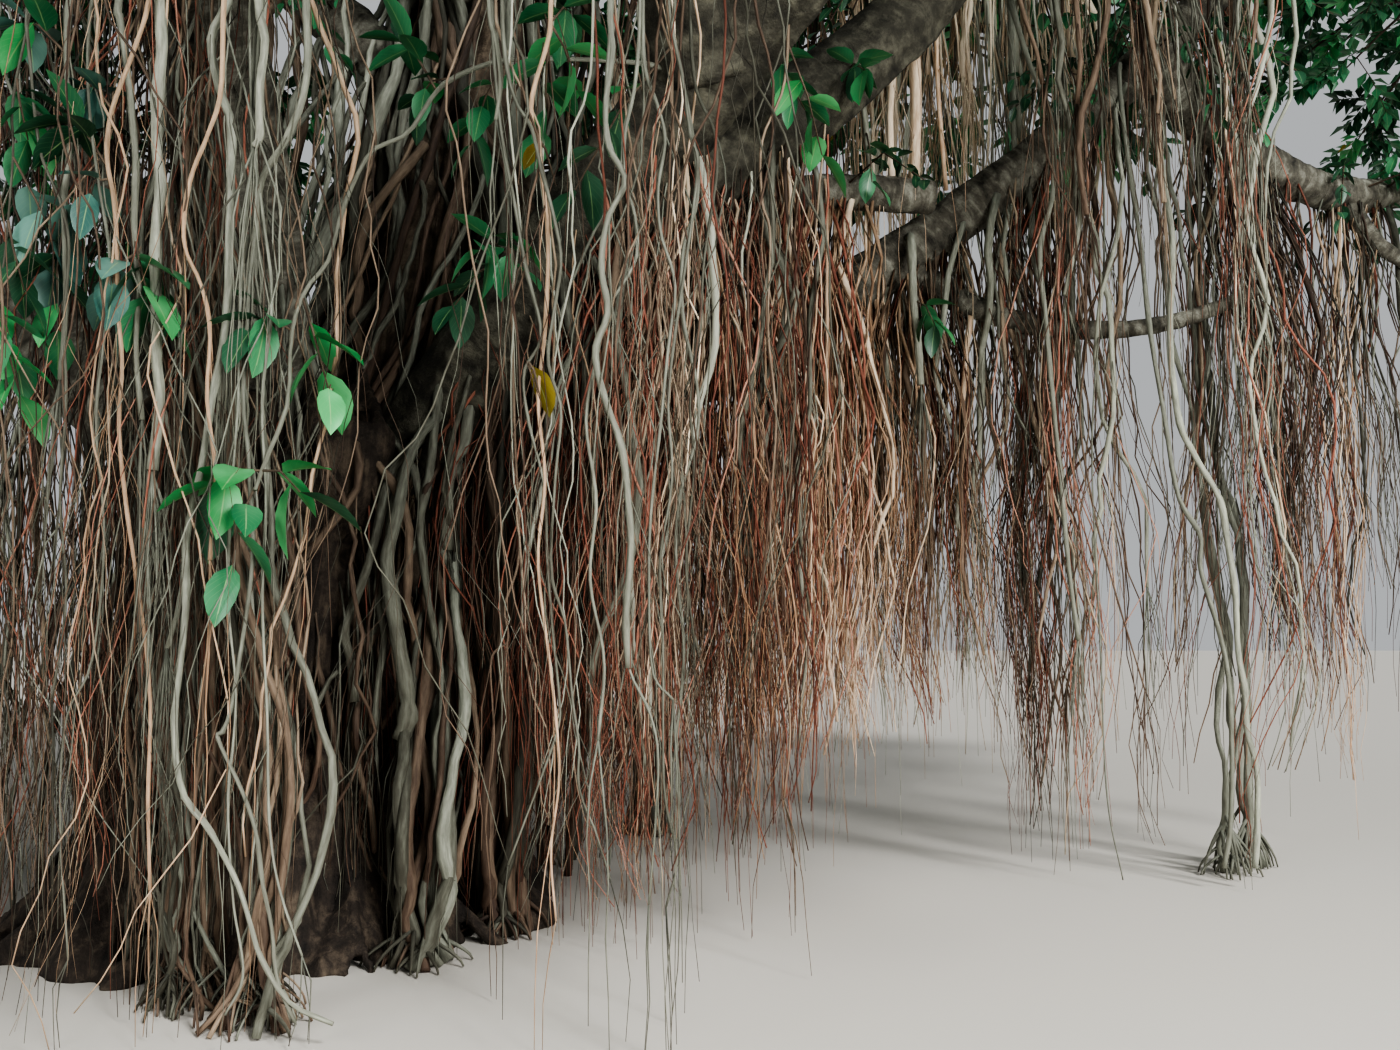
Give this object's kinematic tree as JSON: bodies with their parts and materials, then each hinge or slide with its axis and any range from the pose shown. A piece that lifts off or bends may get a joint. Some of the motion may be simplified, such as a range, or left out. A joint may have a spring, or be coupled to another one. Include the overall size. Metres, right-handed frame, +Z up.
{
  "type": "banyan tree",
  "caption": "Broad-crowned banyan tree with a fluted trunk of fused roots, pillar roots, curtains of hanging aerial roots and spreading boughs; gives deep shade.",
  "frame": {"origin": "middle of the flat cut under the trunk, at ground level", "axes": "+Z up; -Y towards the side from which the picture was taken; +X to the right in it"},
  "size_m": [21.6525, 20.1456, 13.3111],
  "materials": {
    "bark": "rough bark",
    "pillar_bark": "pale bark",
    "hanging_root": "fibrous, matte",
    "foliage": "semi-gloss leaves"
  },
  "bodies": {
    "root": {"back_bough": "bark", "back_curtain": "hanging_root", "back_foliage": "foliage", "back_left_bough": "bark", "back_left_curtain": "hanging_root", "back_left_foliage": "foliage", "back_left_pillar": "pillar_bark", "back_pillar": "pillar_bark", "back_right_bough": "bark", "back_right_curtain": "hanging_root", "back_right_foliage": "foliage", "back_right_pillar": "pillar_bark", "cross_bough": "bark", "cross_curtain": "hanging_root", "crown_back_bough": "bark", "crown_back_foliage": "foliage", "crown_front_bough": "bark", "crown_front_foliage": "foliage", "crown_left_bough": "bark", "crown_left_foliage": "foliage", "crown_right_bough": "bark", "crown_right_foliage": "foliage", "dead_spur": "bark", "far_right_bough": "bark", "far_right_curtain": "hanging_root", "far_right_foliage": "foliage", "far_right_pillar": "pillar_bark", "front_bough": "bark", "front_curtain": "hanging_root", "front_foliage": "foliage", "front_left_bough": "bark", "front_left_curtain": "hanging_root", "front_left_foliage": "foliage", "front_pillar": "pillar_bark", "inner_front_pillar": "pillar_bark", "leader": "bark", "left_back_bough": "bark", "left_back_foliage": "foliage", "left_bough": "bark", "left_curtain": "hanging_root", "left_foliage": "foliage", "left_front_bough": "bark", "left_front_foliage": "foliage", "left_pillar": "pillar_bark", "low_branch": "bark", "low_right_bough": "bark", "low_right_curtain": "hanging_root", "low_right_foliage": "foliage", "main_bough": "bark", "main_curtain": "hanging_root", "main_foliage": "foliage", "main_pillar": "pillar_bark", "outer_right_curtain": "hanging_root", "right_bough": "bark", "right_curtain": "hanging_root", "right_foliage": "foliage", "right_pillar": "pillar_bark", "top_foliage": "foliage", "trunk": "bark", "trunk_pillar": "pillar_bark"}
  },
  "joints": []
}
